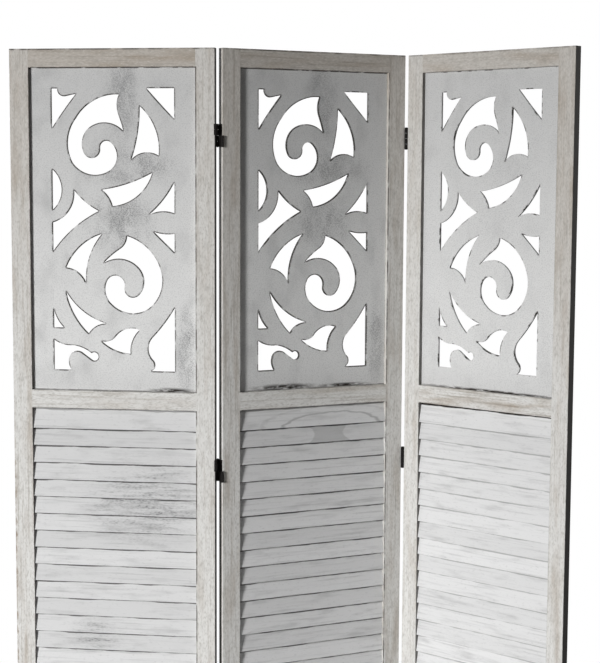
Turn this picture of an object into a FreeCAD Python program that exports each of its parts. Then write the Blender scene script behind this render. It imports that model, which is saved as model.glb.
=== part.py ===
"""Folding room screen: three framed panels, each a pierced scroll board over fixed louvre slats.

A panel's own frame has x across it from its left edge, y from its front face to its back face
and z up from the floor. The whole screen has x along the left panel, y away from the viewer and
z up, with the origin on the floor at the middle of its footprint. All sizes are in millimetres.
"""
import FreeCAD, Part
import math
import os

# Panel frame
PANEL_WIDTH = 400.0
PANEL_HEIGHT = 1700.0
PANEL_THICKNESS = 17.0
STILE_WIDTH = 37.5
TOP_RAIL_HEIGHT = 35.0
MIDDLE_RAIL_HEIGHT = 35.0
BOTTOM_RAIL_HEIGHT = 35.0
FOOT_HEIGHT = 56.0
SCROLL_OPENING_HEIGHT = 619.0
ARRIS_RADIUS = 1.2

# Mortise and tenon joints of the rails
TENON_THICKNESS = 6.0
TENON_LENGTH = 20.0
TENON_SHOULDER_STEP = 1.0
TENON_CLEARANCE = 0.15

# Pierced scroll board, housed in a groove on all four sides
BOARD_THICKNESS = 4.0
BOARD_RECESS = 8.5
GROOVE_DEPTH = 7.0
GROOVE_CLEARANCE = 0.15
FIELD_SIDE_MARGIN = 42.5
FIELD_END_MARGIN = 39.5

# Louvre slats, leaning back at the top, each end let into a stile
SLAT_WIDTH = 40.0
SLAT_THICKNESS = 4.5
SLAT_TILT = 11.0
SLAT_PITCH = 33.75
SLAT_END_GAP = 0.9
SLOT_DEPTH = 8.0
SLOT_CLEARANCE = 0.2

# Split double-action hinges between the panels
HINGES_PER_FOLD = 3
HINGE_HEIGHT = 43.0
TOP_HINGE_DROP = 163.0
LOW_HINGE_RISE = 253.0
LEAF_SETBACK = 1.0
LEAF_THICKNESS = 0.9
LINK_THICKNESS = 0.8
LINK_CLEARANCE = 0.2
BARREL_RADIUS = 2.8
BARREL_FLATS = 10
BARREL_SINK = 0.4
BARREL_CLEARANCE = 0.3

# How far each fold is from flat in degrees, as the screen stands
LEFT_FOLD_ANGLE = 35.7
RIGHT_FOLD_ANGLE = 71.2

# Scroll cut-outs, each a loop of stretches drawn from the lower left corner of a field that all of
# them fill. A stretch lists the point where it starts and, if it is an arc, a point on the way.
CUT_OUTS = {
    "top left curl": [
        [(0, 540)], [(12, 540), (16, 528.5)], [(27.5, 525.5), (34, 527)],
        [(48.5, 530), (26.5, 502)], [(0, 464)],
    ],
    "upper scroll": [
        [(132.5, 528.5), (89, 520.5)], [(48, 484.5), (31, 437.5)], [(40, 399.5), (76.5, 377)],
        [(111.5, 383.5), (128, 410)], [(114.5, 439), (102, 440)], [(94.5, 427), (84.5, 409.5)],
        [(63, 418), (59.5, 430)], [(73, 465.5), (101, 476)], [(141, 459), (137, 474)],
        [(131.5, 490), (128, 508.5)],
    ],
    "upper right leaf": [
        [(172.5, 507), (200.5, 469.5)], [(209.5, 413), (183.5, 419.5)],
        [(155.5, 405), (167.5, 450)],
    ],
    "top right corner": [
        [(186, 540)], [(240, 540)], [(240, 482), (211, 512.5)],
    ],
    "left lens": [
        [(0, 387), (18.5, 347)], [(0, 309)],
    ],
    "left kite": [
        [(42.5, 348), (61, 328)], [(91.5, 307.5), (45.5, 278)], [(0, 229)],
        [(0, 285), (28.5, 303)],
    ],
    "middle leaf": [
        [(197, 381), (146, 359)], [(97.5, 348), (110.5, 335)], [(118.5, 317), (162.5, 333)],
    ],
    "right arrow": [
        [(240, 364)], [(240, 304), (217, 308)], [(188.5, 300), (217.5, 329)],
    ],
    "right corner": [
        [(198.5, 269), (217, 264.5)], [(240, 265)], [(240, 229)],
    ],
    "lower left leaf": [
        [(97.5, 264), (56, 241)], [(25.5, 198.5), (47.5, 191)], [(65.5, 167), (72, 220)],
    ],
    "lower scroll": [
        [(146.5, 260), (186, 238)], [(212.5, 196), (211.5, 152)], [(189, 121.5), (146, 112.5)],
        [(115.5, 128.5), (102.5, 154)], [(107, 175), (132.5, 181.5)],
        [(141.5, 161), (146.5, 146)], [(169, 146.5), (177.5, 160.5)],
        [(172.5, 195.5), (145, 214.5)], [(98.5, 206.5), (117, 224)], [(132, 235), (142, 245)],
    ],
    "lower left sickle": [
        [(24.5, 154), (43, 104)], [(69.5, 71), (83, 85)], [(105.5, 91), (53, 119)],
    ],
    "lower left corner": [
        [(0, 121)], [(0, 82)], [(20.5, 82), (7.5, 99)],
    ],
    "bottom left curl": [
        [(0, 59), (19, 49.5)], [(37, 48), (58, 43)], [(75, 33), (87.5, 22.5)],
        [(76, 19.5)], [(58, 32.5), (42, 36.5)], [(31, 27), (29.5, 13)],
        [(34.5, 0)], [(0, 0)],
    ],
    "bottom leaf": [
        [(94.5, 57), (113.5, 58.5)], [(123, 66.5), (153, 82.5)], [(170.5, 80), (156, 59)],
        [(152.5, 33), (118.5, 41)],
    ],
    "bottom right wave": [
        [(240, 124)], [(240, 0)], [(192.5, 0), (200.5, 11)], [(196.5, 21.5), (187.5, 39.5)],
        [(196, 65.5), (214, 86)],
    ],
}

# Levels and spans that follow from the sizes above
TOP_RAIL_LOW = PANEL_HEIGHT - TOP_RAIL_HEIGHT
MIDDLE_RAIL_HIGH = TOP_RAIL_LOW - SCROLL_OPENING_HEIGHT
MIDDLE_RAIL_LOW = MIDDLE_RAIL_HIGH - MIDDLE_RAIL_HEIGHT
BOTTOM_RAIL_HIGH = FOOT_HEIGHT + BOTTOM_RAIL_HEIGHT
OPENING_WIDTH = PANEL_WIDTH - 2 * STILE_WIDTH
TENON_SHOULDER = GROOVE_DEPTH + TENON_SHOULDER_STEP
RAILS = {
    "top_rail": (TOP_RAIL_LOW, TOP_RAIL_HEIGHT),
    "middle_rail": (MIDDLE_RAIL_LOW, MIDDLE_RAIL_HEIGHT),
    "bottom_rail": (FOOT_HEIGHT, BOTTOM_RAIL_HEIGHT),
}
HINGE_GAP = 2 * LEAF_THICKNESS + LINK_THICKNESS + 2 * LINK_CLEARANCE
FRONT_AXIS_Y = BARREL_SINK - BARREL_RADIUS
BACK_AXIS_Y = PANEL_THICKNESS - FRONT_AXIS_Y
HINGE_MIDDLE_X = HINGE_GAP / 2

UP = FreeCAD.Vector(0, 0, 1)


def block(x_low, x_high, y_low, y_high, z_low, z_high):
    """A box between two values on each axis."""
    corner = FreeCAD.Vector(x_low, y_low, z_low)
    return Part.makeBox(x_high - x_low, y_high - y_low, z_high - z_low, corner)


def stile_blank():
    """A stile on the panel's left side, with its two outer arrises rounded."""
    blank = block(0, STILE_WIDTH, 0, PANEL_THICKNESS, 0, PANEL_HEIGHT)
    outer_arrises = []
    for edge in blank.Edges:
        box = edge.BoundBox
        if box.ZLength > PANEL_HEIGHT / 2 and box.XMax < STILE_WIDTH / 2:
            outer_arrises.append(edge)
    return blank.makeFillet(ARRIS_RADIUS, outer_arrises)


def tenon_block(x_low, x_high, rail_low, rail_height, clearance):
    """The tenon of a rail, or with a clearance the mortise that takes it."""
    middle_y = PANEL_THICKNESS / 2
    half = TENON_THICKNESS / 2 + clearance
    z_low = rail_low + TENON_SHOULDER - clearance
    z_high = rail_low + rail_height - TENON_SHOULDER + clearance
    return block(x_low, x_high, middle_y - half, middle_y + half, z_low, z_high)


def groove_block(x_low, x_high, z_low, z_high):
    """The groove that houses an edge of the scroll board."""
    y_low = BOARD_RECESS - GROOVE_CLEARANCE
    y_high = BOARD_RECESS + BOARD_THICKNESS + GROOVE_CLEARANCE
    return block(x_low, x_high, y_low, y_high, z_low, z_high)


def slat_axes():
    """The directions up along a slat's face and back through its thickness."""
    tilt = math.radians(SLAT_TILT)
    along = FreeCAD.Vector(0, math.sin(tilt), math.cos(tilt))
    through = FreeCAD.Vector(0, math.cos(tilt), -math.sin(tilt))
    return along, through


def slat_rise():
    """The height of a leaning slat, from its lower back corner to its upper front corner."""
    tilt = math.radians(SLAT_TILT)
    return SLAT_WIDTH * math.cos(tilt) + SLAT_THICKNESS * math.sin(tilt)


def slat_setback():
    """How far a slat's nose lies behind the panel's front face, with the slats midway in it."""
    tilt = math.radians(SLAT_TILT)
    depth = SLAT_WIDTH * math.sin(tilt) + SLAT_THICKNESS * math.cos(tilt)
    return (PANEL_THICKNESS - depth) / 2


def slat_levels():
    """The height of each slat's lower front corner, from the top slat down."""
    rise = slat_rise()
    travel = MIDDLE_RAIL_LOW - BOTTOM_RAIL_HIGH - 2 * SLAT_END_GAP - rise
    steps = round(travel / SLAT_PITCH)
    tilt = math.radians(SLAT_TILT)
    first = MIDDLE_RAIL_LOW - SLAT_END_GAP - SLAT_WIDTH * math.cos(tilt)
    return [first - travel / steps * index for index in range(steps + 1)]


def slanted_bar(level, x_low, x_high, clearance):
    """A bar with a slat's section at its slant, or with a clearance the slot that takes it."""
    along, through = slat_axes()
    corner = FreeCAD.Vector(x_low, slat_setback(), level)
    start = corner - (along + through) * clearance
    up = along * (SLAT_WIDTH + 2 * clearance)
    back = through * (SLAT_THICKNESS + 2 * clearance)
    corners = [start, start + up, start + up + back, start + back, start]
    section = Part.Face(Part.makePolygon(corners))
    return section.extrude(FreeCAD.Vector(x_high - x_low, 0, 0))


def slat(level):
    """One slat across the opening, with each end let into a stile."""
    end = STILE_WIDTH - SLOT_DEPTH + SLOT_CLEARANCE
    return slanted_bar(level, end, PANEL_WIDTH - end, 0.0)


def slat_slot(level):
    """The slanted slot in the left stile that houses one slat's end."""
    return slanted_bar(level, STILE_WIDTH - SLOT_DEPTH, STILE_WIDTH, SLOT_CLEARANCE)


def left_stile():
    """The left stile, with its mortises, board groove and slat slots."""
    cuts = []
    for rail_low, rail_height in RAILS.values():
        depth = TENON_LENGTH + TENON_CLEARANCE
        cuts.append(tenon_block(STILE_WIDTH - depth, STILE_WIDTH, rail_low, rail_height, TENON_CLEARANCE))
    groove_low = MIDDLE_RAIL_HIGH - GROOVE_DEPTH
    groove_high = TOP_RAIL_LOW + GROOVE_DEPTH
    cuts.append(groove_block(STILE_WIDTH - GROOVE_DEPTH, STILE_WIDTH, groove_low, groove_high))
    cuts.extend(slat_slot(level) for level in slat_levels())
    return stile_blank().cut(Part.makeCompound(cuts))


def across(shape):
    """The shape mirrored from the panel's left side to its right side."""
    return shape.mirror(FreeCAD.Vector(PANEL_WIDTH / 2, 0, 0), FreeCAD.Vector(1, 0, 0))


def rail(rail_low, rail_height):
    """A rail between the stiles, with a tenon at each end."""
    left = STILE_WIDTH
    right = PANEL_WIDTH - STILE_WIDTH
    body = block(left, right, 0, PANEL_THICKNESS, rail_low, rail_low + rail_height)
    tenons = tenon_block(left - TENON_LENGTH, right + TENON_LENGTH, rail_low, rail_height, 0.0)
    return body.fuse(tenons).removeSplitter()


def top_rail():
    """The top rail, grooved underneath for the scroll board."""
    groove = groove_block(STILE_WIDTH, PANEL_WIDTH - STILE_WIDTH, TOP_RAIL_LOW, TOP_RAIL_LOW + GROOVE_DEPTH)
    return rail(*RAILS["top_rail"]).cut(groove)


def middle_rail():
    """The middle rail, grooved on top for the scroll board."""
    low = MIDDLE_RAIL_HIGH - GROOVE_DEPTH
    groove = groove_block(STILE_WIDTH, PANEL_WIDTH - STILE_WIDTH, low, MIDDLE_RAIL_HIGH)
    return rail(*RAILS["middle_rail"]).cut(groove)


def drawn_size():
    """The width and height of the field that the cut-outs are drawn on."""
    points = [point for loop in CUT_OUTS.values() for stretch in loop for point in stretch]
    return max(x for x, z in points), max(z for x, z in points)


def cut_out_wire(loop, field_left, field_low, field_width, field_height):
    """The closed outline of one cut-out, laid on the front face of the scroll board."""
    drawn_width, drawn_height = drawn_size()

    def place(point):
        x = field_left + point[0] * field_width / drawn_width
        z = field_low + point[1] * field_height / drawn_height
        return FreeCAD.Vector(x, BOARD_RECESS, z)

    edges = []
    for index, stretch in enumerate(loop):
        following = loop[(index + 1) % len(loop)]
        points = [place(point) for point in stretch + following[:1]]
        line = Part.LineSegment(*points) if len(points) == 2 else Part.Arc(*points)
        edges.append(line.toShape())
    return Part.Wire(edges)


def scroll_board():
    """The thin board of the upper opening, pierced with the scroll cut-outs."""
    reach = GROOVE_DEPTH - GROOVE_CLEARANCE
    left = STILE_WIDTH - reach
    right = PANEL_WIDTH - STILE_WIDTH + reach
    low = MIDDLE_RAIL_HIGH - reach
    high = TOP_RAIL_LOW + reach
    corners = [(left, low), (right, low), (right, high), (left, high), (left, low)]
    outline = Part.makePolygon([FreeCAD.Vector(x, BOARD_RECESS, z) for x, z in corners])
    field = (
        STILE_WIDTH + FIELD_SIDE_MARGIN,
        MIDDLE_RAIL_HIGH + FIELD_END_MARGIN,
        OPENING_WIDTH - 2 * FIELD_SIDE_MARGIN,
        SCROLL_OPENING_HEIGHT - 2 * FIELD_END_MARGIN,
    )
    wires = [outline]
    wires.extend(cut_out_wire(loop, *field) for loop in CUT_OUTS.values())
    face = Part.makeFace(wires, "Part::FaceMakerBullseye")
    return face.extrude(FreeCAD.Vector(0, BOARD_THICKNESS, 0))


def hinge_levels():
    """The height of the middle of each hinge, evenly spaced from the top one to the lowest."""
    spacing = (PANEL_HEIGHT - TOP_HINGE_DROP - LOW_HINGE_RISE) / (HINGES_PER_FOLD - 1)
    return [LOW_HINGE_RISE + spacing * index for index in range(HINGES_PER_FOLD)]


def turned(shape):
    """The shape turned half round about the middle of the hinge, from left and front to right and back."""
    copy = shape.copy()
    copy.rotate(FreeCAD.Vector(HINGE_MIDDLE_X, PANEL_THICKNESS / 2, 0), UP, 180)
    return copy


def barrel(axis_y, z_low, z_high):
    """A hinge barrel on one of the hinge's two axes, its round drawn with a few flats."""
    corners = []
    for index in range(BARREL_FLATS + 1):
        turn = 2 * math.pi * index / BARREL_FLATS
        x = HINGE_MIDDLE_X + BARREL_RADIUS * math.cos(turn)
        corners.append(FreeCAD.Vector(x, axis_y + BARREL_RADIUS * math.sin(turn), z_low))
    section = Part.Face(Part.makePolygon(corners))
    return section.extrude(UP * (z_high - z_low))


def left_leaf(level):
    """The leaf on the left stile's edge: its front barrel is above and its back barrel below."""
    half = HINGE_HEIGHT / 2
    quarter = HINGE_HEIGHT / 4
    plate_front = LEAF_SETBACK
    plate_back = PANEL_THICKNESS - LEAF_SETBACK
    front = (level + quarter + BARREL_CLEARANCE / 2, level + half)
    back = (level - half, level - quarter - BARREL_CLEARANCE / 2)
    plate = block(0, LEAF_THICKNESS, plate_front, plate_back, level - half, level + half)
    leaf = plate.fuse([
        block(0, LEAF_THICKNESS, FRONT_AXIS_Y, plate_front, *front),
        block(0, LEAF_THICKNESS, plate_back, BACK_AXIS_Y, *back),
        barrel(FRONT_AXIS_Y, *front),
        barrel(BACK_AXIS_Y, *back),
    ])
    return leaf.removeSplitter()


def link(level, side):
    """The link in the upper half of a hinge, side 1, or in the lower half, side -1."""
    half = HINGE_HEIGHT / 2
    quarter = HINGE_HEIGHT / 4
    inner = BARREL_CLEARANCE / 2
    span = sorted((level + side * inner, level + side * (quarter - inner)))
    tall_span = sorted((level + side * inner, level + side * half))
    x_low = HINGE_MIDDLE_X - LINK_THICKNESS / 2
    x_high = HINGE_MIDDLE_X + LINK_THICKNESS / 2
    reach = BARREL_RADIUS + BARREL_CLEARANCE
    plate = block(x_low, x_high, FRONT_AXIS_Y + reach, BACK_AXIS_Y - reach, *tall_span)
    shape = plate.fuse([
        block(x_low, x_high, FRONT_AXIS_Y, BACK_AXIS_Y, *span),
        barrel(FRONT_AXIS_Y, *span),
        barrel(BACK_AXIS_Y, *span),
    ])
    return shape.removeSplitter()


def fold_pieces():
    """The hinge pieces of one fold, laid flat, by name: x starts at the left stile's edge."""
    levels = hinge_levels()
    leaves = [left_leaf(level) for level in levels]
    return {
        "left_leaves": leaves,
        "right_leaves": [turned(leaf) for leaf in leaves],
        "upper_links": [link(level, 1) for level in levels],
        "lower_links": [link(level, -1) for level in levels],
    }


def panel_pieces():
    """The wooden pieces of one panel by name."""
    stile = left_stile()
    return {
        "left_stile": [stile],
        "right_stile": [across(stile)],
        "top_rail": [top_rail()],
        "middle_rail": [middle_rail()],
        "bottom_rail": [rail(*RAILS["bottom_rail"])],
        "scroll_board": [scroll_board()],
        "louvre_slats": [slat(level) for level in slat_levels()],
    }


def turn_about(x, y, degrees):
    """A turn about an upright axis through a point."""
    return FreeCAD.Placement(FreeCAD.Vector(), FreeCAD.Rotation(UP, degrees), FreeCAD.Vector(x, y, 0))


def panel_placements():
    """Where each panel stands: the left fold closes at the back and the right fold at the front."""
    step = FreeCAD.Placement(FreeCAD.Vector(PANEL_WIDTH + HINGE_GAP, 0, 0), FreeCAD.Rotation())
    fold_x = PANEL_WIDTH + HINGE_MIDDLE_X
    left = FreeCAD.Placement()
    centre = left * turn_about(fold_x, BACK_AXIS_Y, LEFT_FOLD_ANGLE) * step
    right = centre * turn_about(fold_x, FRONT_AXIS_Y, -RIGHT_FOLD_ANGLE) * step
    return {"left": left, "centre": centre, "right": right}


def assemble():
    """Every piece of the screen by node name, and the two fold axes, before the origin is set."""
    places = panel_placements()
    nodes = {}
    for side, place in places.items():
        for name, shapes in panel_pieces().items():
            nodes[f"{side}_panel_{name}"] = [shape.transformed(place.toMatrix()) for shape in shapes]
    # Each link stays closed against the panel that it does not turn on
    riders = {
        "left_fold": ("left", "centre", "left_", "right_"),
        "right_fold": ("centre", "right", "right_", "left_"),
    }
    from_left_edge = FreeCAD.Placement(FreeCAD.Vector(PANEL_WIDTH, 0, 0), FreeCAD.Rotation())
    from_right_edge = FreeCAD.Placement(FreeCAD.Vector(-HINGE_GAP, 0, 0), FreeCAD.Rotation())
    for fold, (left, right, upper_side, lower_side) in riders.items():
        to_left = places[left] * from_left_edge
        to_right = places[right] * from_right_edge
        for name, shapes in fold_pieces().items():
            carrier = name.replace("upper_", upper_side).replace("lower_", lower_side)
            place = to_left if carrier.startswith("left_") else to_right
            nodes[f"{fold}_{name}"] = [shape.transformed(place.toMatrix()) for shape in shapes]
    fold_x = PANEL_WIDTH + HINGE_MIDDLE_X
    axes = {
        "left_fold": places["left"].multVec(FreeCAD.Vector(fold_x, BACK_AXIS_Y, 0)),
        "right_fold": places["centre"].multVec(FreeCAD.Vector(fold_x, FRONT_AXIS_Y, 0)),
    }
    return nodes, axes


def main():
    """Build the screen, set its origin and write every piece."""
    os.makedirs("parts", exist_ok=True)
    nodes, axes = assemble()
    everything = Part.makeCompound([shape for shapes in nodes.values() for shape in shapes])
    box = everything.optimalBoundingBox(False, False)
    to_origin = FreeCAD.Vector(-box.Center.x, -box.Center.y, -box.ZMin)
    for name, shapes in nodes.items():
        placed = [shape.translated(to_origin) for shape in shapes]
        node = placed[0] if len(placed) == 1 else Part.makeCompound(placed)
        node.exportStep(f"parts/{name}.step")
    for name, point in axes.items():
        place = point + to_origin
        print(f"{name} axis at x {place.x:.4f} y {place.y:.4f}")
    print(f"left panel's front left corner at x {to_origin.x:.4f} y {to_origin.y:.4f}")
    print(f"overall {box.XLength:.2f} by {box.YLength:.2f} by {box.ZLength:.2f}")


main()
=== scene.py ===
"""Looks of a folding room screen: whitewashed, scuffed wood panels on black double-action hinges.

The CAD frame holds the stiles, rails, scroll boards, louvre slats and hinges. This script dresses
them, adds the hinges' pins and screws, and sets the stage, the lamps and the camera. Sizes of the
object and of its patterns are in millimetres, and Blender's own lengths are in metres.
"""

import logging
import math
from collections.abc import Callable
from dataclasses import dataclass, field, replace
from enum import Enum
from functools import partial

import bmesh
import bpy
from mathutils import Matrix, Vector


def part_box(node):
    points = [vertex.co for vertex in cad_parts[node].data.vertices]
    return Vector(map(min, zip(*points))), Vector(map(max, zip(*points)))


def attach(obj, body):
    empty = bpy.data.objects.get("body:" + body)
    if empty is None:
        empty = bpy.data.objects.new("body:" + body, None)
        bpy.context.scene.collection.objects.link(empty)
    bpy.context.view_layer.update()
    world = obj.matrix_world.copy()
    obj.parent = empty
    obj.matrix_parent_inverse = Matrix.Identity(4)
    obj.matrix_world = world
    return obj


LOG = logging.getLogger("room_screen")
MM = 0.001
IMAGE_SIZE = (600, 663)

Socket = bpy.types.NodeSocket
Tree = bpy.types.NodeTree

# How far a surface has to face a direction before it begins to count, and before it counts fully.
SIDE_ON = (0.5, 0.8)
# What tells one whole number from the next.
HALF_STEP = 0.5
# What a noise varies about.
NOISE_MIDDLE = 0.5
# The settings of a node that maps a range, for a soft fade from one bound to the other.
SOFTLY = {"interpolation_type": "SMOOTHSTEP"}
# The settings of a node that mixes colours, and its inputs and output for them.
COLOURS = {"data_type": "RGBA", "output": 2}
SHARE, UNDER, OVER = 0, 6, 7

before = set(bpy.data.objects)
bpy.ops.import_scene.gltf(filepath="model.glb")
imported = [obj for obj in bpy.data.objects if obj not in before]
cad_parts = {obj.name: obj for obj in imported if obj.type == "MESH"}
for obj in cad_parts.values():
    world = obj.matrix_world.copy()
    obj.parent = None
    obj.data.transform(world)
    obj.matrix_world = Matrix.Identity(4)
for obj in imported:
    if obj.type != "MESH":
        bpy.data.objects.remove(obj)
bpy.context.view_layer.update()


class Side(Enum):
    """One of the screen's three panels."""

    LEFT = "left"
    CENTRE = "centre"
    RIGHT = "right"


class Grain(Enum):
    """The way a piece's grain runs, as the axis of the panel that it follows."""

    ACROSS = 0
    UPRIGHT = 2


def linear(code: str) -> tuple[float, float, float, float]:
    """Turn an sRGB hex colour to linear light.

    Args:
        code: Six hex digits after a hash sign.

    Returns:
        Red, green, blue and an alpha of one.
    """
    shares = [int(code[place:place + 2], 16) / 255 for place in (1, 3, 5)]
    bent = [share / 12.92 if share <= 0.04045 else ((share + 0.055) / 1.055) ** 2.4 for share in shares]
    return (bent[0], bent[1], bent[2], 1.0)


def add_node(tree: Tree, kind: str, *values: object, output: int | str = 0, inputs: dict | None = None,
             **settings: object) -> Socket:
    """Add a node with its settings, values and links.

    Args:
        tree: The node tree that takes the node.
        kind: The node's type, without the common prefix.
        values: Values or other nodes' outputs for the first inputs, in order.
        output: The output that is wanted, by name or number.
        inputs: Values or other nodes' outputs, by input name or number.
        settings: The node's own properties.

    Returns:
        The wanted output.
    """
    node = tree.nodes.new("ShaderNode" + kind)
    for name, value in settings.items():
        setattr(node, name, value)
    for name, value in [*enumerate(values), *(inputs or {}).items()]:
        if isinstance(value, Socket):
            tree.links.new(value, node.inputs[name])
        else:
            node.inputs[name].default_value = value
    return node.outputs[output]


@dataclass(frozen=True)
class PanelSpace:
    """Where a panel stands: its lower front left corner, its turn about the upright and its sizes."""

    corner: Vector
    turn: float
    width_mm: float
    thickness_mm: float
    stile_mm: float

    @classmethod
    def of(cls, side: Side) -> "PanelSpace":
        """Read a panel's place and sizes from its two stiles.

        Args:
            side: The panel.

        Returns:
            The panel's space.
        """
        stiles = [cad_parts[f"{side.value}_panel_{hand}_stile"] for hand in ("left", "right")]
        points = [[vertex.co for vertex in stile.data.vertices] for stile in stiles]
        middles = [sum(group, Vector()) / len(group) for group in points]
        along = (middles[1] - middles[0]).normalized()
        into = Vector((-along.y, along.x, 0.0))
        places, depths = ([point.dot(way) for point in points[0]] for way in (along, into))
        left, front = min(places), min(depths)
        width = max(point.dot(along) for point in points[1]) - left
        return cls(along * left + into * front, math.atan2(along.y, along.x), width / MM,
                   (max(depths) - front) / MM, (max(places) - left) / MM)

    def to_row(self) -> Matrix:
        """Give the matrix from the panel's millimetres to the row frame's metres."""
        return Matrix.Translation(self.corner) @ Matrix.Rotation(self.turn, 4, "Z") @ Matrix.Scale(MM, 4)


@dataclass(frozen=True)
class Smear:
    """A rubbed smear on a panel's face, as an oval: its middle and half its width and height."""

    across: float
    up: float
    half_width: float
    half_height: float


@dataclass(frozen=True)
class Pattern:
    """A noise pattern: the size of its streaks, what sets it apart and the part of its range that shows.

    The width is across the grain and the length along it. Noise at the low bound gives the least
    value and at the high bound the most. A high bound under the low one shows the noise's hollows.
    """

    width_mm: float
    length_mm: float
    step: float
    low: float = 0.0
    high: float = 1.0
    most: float = 1.0
    least: float = 0.0
    detail: float = 3.0


@dataclass(frozen=True)
class Coat:
    """How a washed wood takes the light: its relief, its roughness, its eased arrises and its shine."""

    relief_mm: float
    roughness: float
    relief_strength: float = 0.6
    eased_mm: float = 0.8
    eased_samples: int = 4
    refraction: float = 1.48
    shine: float = 0.2


@dataclass
class Brush:
    """Paints one material in the millimetres of a panel: across, into and up it."""

    name: str
    space: PanelSpace
    grain: Grain
    seed: float
    ground: str
    flat_match: float = 0.998
    arris_samples: int = 8
    spot_core: float = 0.25
    material: bpy.types.Material = field(init=False)
    node: Callable[..., Socket] = field(init=False)
    place: Socket = field(init=False)
    across: Socket = field(init=False)
    into: Socket = field(init=False)
    up: Socket = field(init=False)
    colour: Socket | tuple[float, ...] = field(init=False)

    def __post_init__(self) -> None:
        """Make the material in its ground colour, with the nodes that give a point of the panel."""
        self.material = bpy.data.materials.new(self.name)
        self.material.use_nodes = True
        self.node = partial(add_node, self.material.node_tree)
        self.place = self.node("Mapping", inputs={
            "Vector": self.node("TexCoord", output="Object"), "Location": self.space.corner,
            "Rotation": (0.0, 0.0, self.space.turn), "Scale": (MM, MM, MM)}, vector_type="TEXTURE")
        self.across, self.into, self.up = (
            self.node("SeparateXYZ", self.place, output=axis) for axis in ("X", "Y", "Z"))
        self.colour = linear(self.ground)

    def paint(self, share: Socket, colour: str) -> None:
        """Lay a colour over what is painted so far.

        Args:
            share: How much of the new colour shows, from 0 to 1.
            colour: The new colour's hex code.
        """
        layers = {SHARE: share, UNDER: self.colour, OVER: linear(colour)}
        self.colour = self.node("Mix", inputs=layers, **COLOURS)

    def overlap(self, mark: Socket, *marks: object) -> Socket:
        """Give how strong marks are where they overlap.

        Args:
            mark: The first mark's strength.
            marks: The others' strengths, as numbers or other nodes' values.

        Returns:
            The product of the strengths.
        """
        for other in marks:
            mark = self.node("Math", mark, other, operation="MULTIPLY")
        return mark

    def away(self, value: Socket, middle: float) -> Socket:
        """Give how far a value is from a number, whichever side of it."""
        return self.node("Math", self.node("Math", value, middle, operation="SUBTRACT"), operation="ABSOLUTE")

    def noise(self, pattern: Pattern) -> Socket:
        """Draw a pattern's noise out along the grain.

        Args:
            pattern: The pattern.

        Returns:
            The noise, from 0 to 1 about a half.
        """
        shares = [1 / pattern.width_mm] * 3
        shares[self.grain.value] = 1 / pattern.length_mm
        drawn = self.node("VectorMath", self.place, shares, operation="MULTIPLY")
        return self.node("TexNoise", inputs={
            "Vector": drawn, "W": self.seed + pattern.step, "Scale": 1.0, "Detail": pattern.detail},
            noise_dimensions="4D")

    def show(self, noise: Socket, pattern: Pattern) -> Socket:
        """Give the part of a noise's range that its pattern shows."""
        return self.node("MapRange", noise, pattern.low, pattern.high, pattern.least, pattern.most, **SOFTLY)

    def layer(self, pattern: Pattern, most: float | None = None) -> Socket:
        """Draw a pattern, at its own strength or another."""
        return self.show(self.noise(pattern), pattern if most is None else replace(pattern, most=most))

    def spot(self, smear: Smear, lift: float = 0.0) -> Socket:
        """Draw a smear's soft oval on the panel's face.

        Args:
            smear: The smear.
            lift: How far to raise it.

        Returns:
            1 in the middle, 0 at the rim and beyond.
        """
        middle = (smear.across, 0.0, lift + smear.up)
        shares = (1 / smear.half_width, 0.0, 1 / smear.half_height)
        away = self.node("VectorMath", self.place, middle, operation="SUBTRACT")
        share = self.node("VectorMath", away, shares, operation="MULTIPLY")
        reach = self.node("VectorMath", share, operation="LENGTH", output="Value")
        return self.node("MapRange", reach, 1.0, self.spot_core, **SOFTLY)

    def arrises(self, radius: float, fullness: float) -> Socket:
        """Find the edges of the piece.

        Args:
            radius: How far from an edge counts, in millimetres.
            fullness: How soon the line is full; nearer to 1 is sooner, and a wider line.

        Returns:
            1 at an edge, 0 away from it.
        """
        rounded = self.node("Bevel", radius * MM, samples=self.arris_samples)
        plain = self.node("NewGeometry", output="Normal")
        same = self.node("VectorMath", rounded, plain, operation="DOT_PRODUCT", output="Value")
        return self.node("MapRange", same, self.flat_match, fullness, **SOFTLY)

    def facing(self, degrees: float) -> Socket:
        """Give how far the surface faces a level direction of the panel.

        Args:
            degrees: The direction, from 0 for the panel's right edge to 90 for its back.

        Returns:
            1 facing it, -1 facing away.
        """
        angle = self.space.turn + math.radians(degrees)
        way = (math.cos(angle), math.sin(angle), 0.0)
        normal = self.node("TexCoord", output="Normal")
        return self.node("VectorMath", normal, way, operation="DOT_PRODUCT", output="Value")

    def coat(self, height: Socket, coat: Coat) -> bpy.types.Material:
        """Join the painted colour and a relief to the shader of a washed wood.

        Args:
            height: The relief, from 0 to 1.
            coat: How the surface takes the light.

        Returns:
            The material.
        """
        eased = self.node("Bevel", coat.eased_mm * MM, samples=coat.eased_samples)
        bump = self.node("Bump", inputs={
            "Height": height, "Strength": coat.relief_strength, "Distance": coat.relief_mm * MM,
            "Normal": eased})
        tree = self.material.node_tree
        shader = tree.nodes["Principled BSDF"]
        shader.inputs["Roughness"].default_value = coat.roughness
        shader.inputs["IOR"].default_value = coat.refraction
        shader.inputs["Specular IOR Level"].default_value = coat.shine
        tree.links.new(self.colour, shader.inputs["Base Color"])
        tree.links.new(bump, shader.inputs["Normal"])
        return self.material


@dataclass(frozen=True)
class EdgeStainAndShade:
    """How the wash ends at a piece's edges.

    The outer edges are washed to a depth from the front and stained dark behind it, a stain that
    stands partly as painted shade; the edges that face right inside the openings carry painted
    shade; the left arris may be scuffed brown low down, and the arris beside the openings on their
    right may be rubbed dark.
    """

    washed_mm: float
    # How dark the painted shade is on the faces inside the openings that face right.
    rebate_shade: float
    scuffed: float = 0.0
    inner_rub: float = 0.0


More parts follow.
